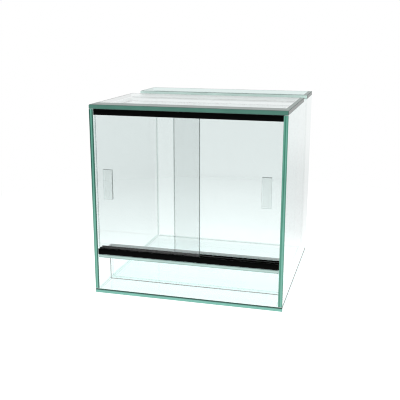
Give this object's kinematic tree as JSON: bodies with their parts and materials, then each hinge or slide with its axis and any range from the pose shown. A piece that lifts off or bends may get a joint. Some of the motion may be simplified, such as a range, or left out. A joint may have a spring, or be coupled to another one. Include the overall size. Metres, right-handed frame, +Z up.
{
  "type": "terrarium cabinet",
  "caption": "Frameless glass terrarium cabinet with sliding glass doors in double-groove runners, a set-back lower front and perforated air strips.",
  "frame": {"origin": "middle of the base, on the surface that the cabinet stands on", "axes": "+Z up, +X to the right as seen from the front, +Y from the doors to the back"},
  "size_m": [0.3, 0.3023, 0.3],
  "materials": {
    "body_glass": "clear float glass, polished green edges",
    "door_glass": "clear float glass, polished dark edges",
    "grip_glass": "clear float glass, polished",
    "silicone": "clear, tooled smooth",
    "bonding_pad": "clear, slightly milky",
    "runner_plastic": "black extruded plastic, satin",
    "perforated_aluminium": "natural, fine rolling grain"
  },
  "bodies": {
    "cabinet": {"floor_panel": "body_glass", "left_side_panel": "body_glass", "right_side_panel": "body_glass", "back_panel": "body_glass", "top_front_panel": "body_glass", "top_rear_panel": "body_glass", "lower_front_panel": "body_glass", "track_ledge": "body_glass", "bottom_runner": "runner_plastic", "top_runner": "runner_plastic", "front_vent_strip": "perforated_aluminium", "top_vent_strip": "perforated_aluminium", "floor_left_seam": "silicone", "floor_right_seam": "silicone", "floor_back_seam": "silicone", "floor_front_seam": "silicone", "recess_left_seam": "silicone", "recess_right_seam": "silicone", "back_left_seam": "silicone", "back_right_seam": "silicone", "lower_front_left_seam": "silicone", "lower_front_right_seam": "silicone", "ledge_left_seam": "silicone", "ledge_right_seam": "silicone", "top_front_left_seam": "silicone", "top_front_right_seam": "silicone", "top_rear_left_seam": "silicone", "top_rear_right_seam": "silicone", "top_back_seam": "silicone"},
    "front_sliding_door": {"left_door": "door_glass", "left_handle": "grip_glass", "left_handle_pad": "bonding_pad"},
    "rear_sliding_door": {"right_door": "door_glass", "right_handle": "grip_glass", "right_handle_pad": "bonding_pad"}
  },
  "joints": [
    {"name": "left_door_slide", "type": "slide", "parent": "cabinet", "child": "front_sliding_door", "axis": [1, 0, 0], "range_m": [0, 0.1215]},
    {"name": "right_door_slide", "type": "slide", "parent": "cabinet", "child": "rear_sliding_door", "axis": [1, 0, 0], "range_m": [-0.1215, 0]}
  ]
}
